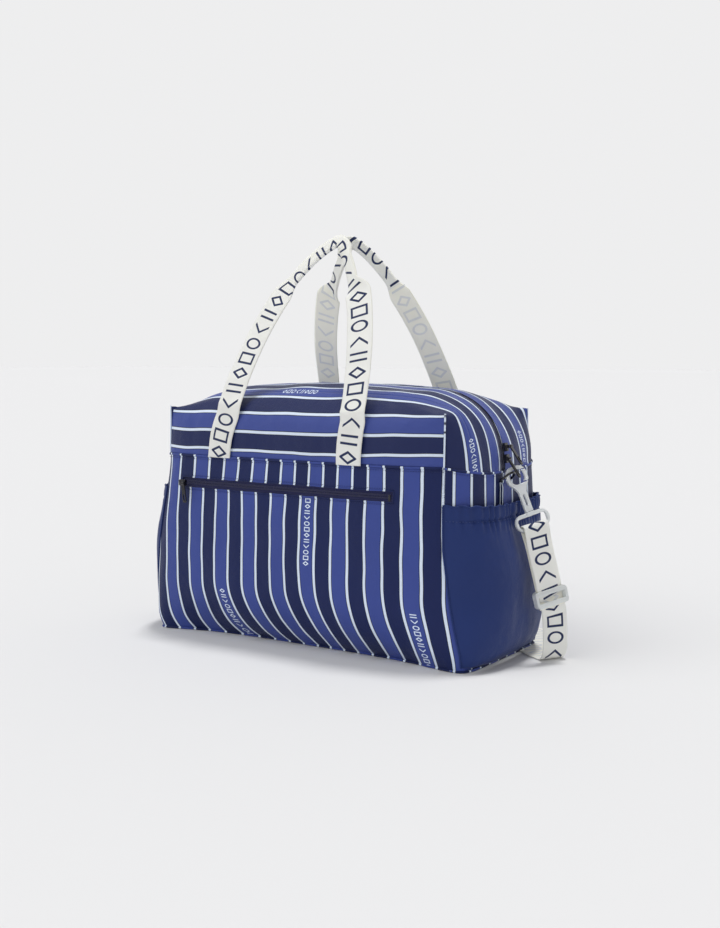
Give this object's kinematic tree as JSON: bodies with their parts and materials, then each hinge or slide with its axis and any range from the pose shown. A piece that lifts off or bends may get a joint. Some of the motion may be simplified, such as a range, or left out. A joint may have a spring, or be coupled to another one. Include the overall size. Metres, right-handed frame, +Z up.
{
  "type": "weekender bag",
  "caption": "Soft zip-top weekender bag with striped panels, two webbing handles, a front zip pocket, elastic end pockets and a clip-on shoulder strap.",
  "frame": {"origin": "centre of the flat base", "axes": "+X along the bag to its right end, -Y to the front that carries the zip pocket, +Z up"},
  "size_m": [0.6345, 0.3166, 0.5456],
  "materials": {
    "striped_cloth": "matte",
    "plain_cloth": "matte",
    "lining_cloth": "matte",
    "elastic": "matte",
    "board": "matte",
    "webbing": "matte",
    "black_metal": "gloss",
    "zip_tape": "matte",
    "clear_plastic": "gloss"
  },
  "bodies": {
    "root": {"base_board": "board", "base_panel": "striped_cloth", "front_panel": "striped_cloth", "front_pocket_bag": "lining_cloth", "left_end_panel": "striped_cloth", "left_end_pocket": "plain_cloth", "left_pocket_elastic": "elastic", "left_strap_tab": "striped_cloth", "left_swivel_ring": "clear_plastic", "lining": "lining_cloth", "main_zip_front_ends": "zip_tape", "main_zip_rear_ends": "zip_tape", "pocket_zip_lower_tape": "zip_tape", "pocket_zip_stop": "black_metal", "pocket_zip_upper_tape": "zip_tape", "rear_panel": "striped_cloth", "right_end_panel": "striped_cloth", "right_end_pocket": "plain_cloth", "right_pocket_elastic": "elastic", "right_strap_tab": "striped_cloth", "right_swivel_ring": "clear_plastic", "shoulder_strap": "webbing", "top_front_panel": "striped_cloth", "top_rear_panel": "striped_cloth"},
    "handle_front": {"front_handle": "webbing"},
    "handle_rear": {"rear_handle": "webbing"},
    "flap_front": {"top_front_flap": "striped_cloth", "main_zip_front_middle": "zip_tape"},
    "flap_rear": {"top_rear_flap": "striped_cloth", "main_zip_rear_middle": "zip_tape"},
    "slider_upper": {"main_slider_upper": "black_metal"},
    "slider_lower": {"main_slider_lower": "black_metal"},
    "pull_upper": {"main_pull_upper": "black_metal"},
    "pull_lower": {"main_pull_lower": "black_metal"},
    "slider_pocket": {"pocket_slider": "black_metal"},
    "pull_pocket": {"pocket_pull": "black_metal"},
    "hook_right": {"right_hook": "clear_plastic"},
    "hook_left": {"left_hook": "clear_plastic"},
    "gate_right": {"right_hook_gate": "clear_plastic"},
    "gate_left": {"left_hook_gate": "clear_plastic"},
    "ring_right": {"right_d_ring": "black_metal"},
    "ring_left": {"left_d_ring": "black_metal"},
    "adjuster": {"strap_adjuster": "clear_plastic"}
  },
  "joints": [
    {"name": "front_handle_fold", "type": "hinge", "parent": "root", "child": "handle_front", "pos_m": [0, -0.1226, 0.25], "axis": [1, 0, 0], "range_deg": [0, 150]},
    {"name": "rear_handle_fold", "type": "hinge", "parent": "root", "child": "handle_rear", "pos_m": [0, 0.1226, 0.25], "axis": [-1, 0, 0], "range_deg": [0, 150]},
    {"name": "front_flap_open", "type": "hinge", "parent": "root", "child": "flap_front", "pos_m": [0, -0.072, 0.343], "axis": [1, 0, 0], "range_deg": [0, 75]},
    {"name": "rear_flap_open", "type": "hinge", "parent": "root", "child": "flap_rear", "pos_m": [0, 0.072, 0.343], "axis": [-1, 0, 0], "range_deg": [0, 75]},
    {"name": "main_zip_upper_run", "type": "hinge", "parent": "root", "child": "slider_upper", "pos_m": [0.152, 0, 0.253], "axis": [0, -1, 0], "range_deg": [0, 35]},
    {"name": "main_zip_lower_run", "type": "hinge", "parent": "root", "child": "slider_lower", "pos_m": [0.152, 0, 0.253], "axis": [0, -1, 0], "range_deg": [0, 35]},
    {"name": "main_pull_upper_swing", "type": "hinge", "parent": "slider_upper", "child": "pull_upper", "pos_m": [0.24786, 0, 0.27337], "axis": [0, -1, 0], "range_deg": [0, 90]},
    {"name": "main_pull_lower_swing", "type": "hinge", "parent": "slider_lower", "child": "pull_lower", "pos_m": [0.24987, 0, 0.25813], "axis": [0, -1, 0], "range_deg": [0, 90]},
    {"name": "pocket_zip_run", "type": "slide", "parent": "root", "child": "slider_pocket", "axis": [1, 0, 0], "range_m": [0, 0.325]},
    {"name": "pocket_pull_swing", "type": "hinge", "parent": "slider_pocket", "child": "pull_pocket", "pos_m": [-0.1885, -0.1292, 0.213], "axis": [-1, 0, 0], "range_deg": [0, 110]},
    {"name": "right_hook_swivel", "type": "hinge", "parent": "root", "child": "hook_right", "pos_m": [0.258, 0.002, 0.235], "axis": [0.3603, 0.0601, -0.9309], "range_deg": [-5, 8]},
    {"name": "left_hook_swivel", "type": "hinge", "parent": "root", "child": "hook_left", "pos_m": [-0.258, 0.002, 0.235], "axis": [0.3603, -0.0601, 0.9309], "range_deg": [-5, 8]},
    {"name": "right_gate_press", "type": "hinge", "parent": "hook_right", "child": "gate_right", "pos_m": [0.26593, 0.01153, 0.23063], "axis": [0.7973, -0.5379, 0.2739], "range_deg": [0, 20], "stiffness_Nm_per_rad": 0.02, "springref_deg": -5.73},
    {"name": "left_gate_press", "type": "hinge", "parent": "hook_left", "child": "gate_left", "pos_m": [-0.26593, 0.01153, 0.23063], "axis": [0.7973, 0.5379, -0.2739], "range_deg": [0, 20], "stiffness_Nm_per_rad": 0.02, "springref_deg": -5.73},
    {"name": "right_d_ring_swing", "type": "hinge", "parent": "root", "child": "ring_right", "pos_m": [0.2446, -0.004, 0.23], "axis": [0, 1, 0], "range_deg": [0, 20]},
    {"name": "left_d_ring_swing", "type": "hinge", "parent": "root", "child": "ring_left", "pos_m": [-0.2446, -0.004, 0.23], "axis": [0, -1, 0], "range_deg": [0, 20]},
    {"name": "adjuster_run", "type": "slide", "parent": "root", "child": "adjuster", "axis": [-0.209, -0.098, 0.973], "range_m": [0, 0.045]}
  ],
  "couplings": [
    {"joint": "main_zip_lower_run", "follows": "main_zip_upper_run", "ratio": 1}
  ]
}
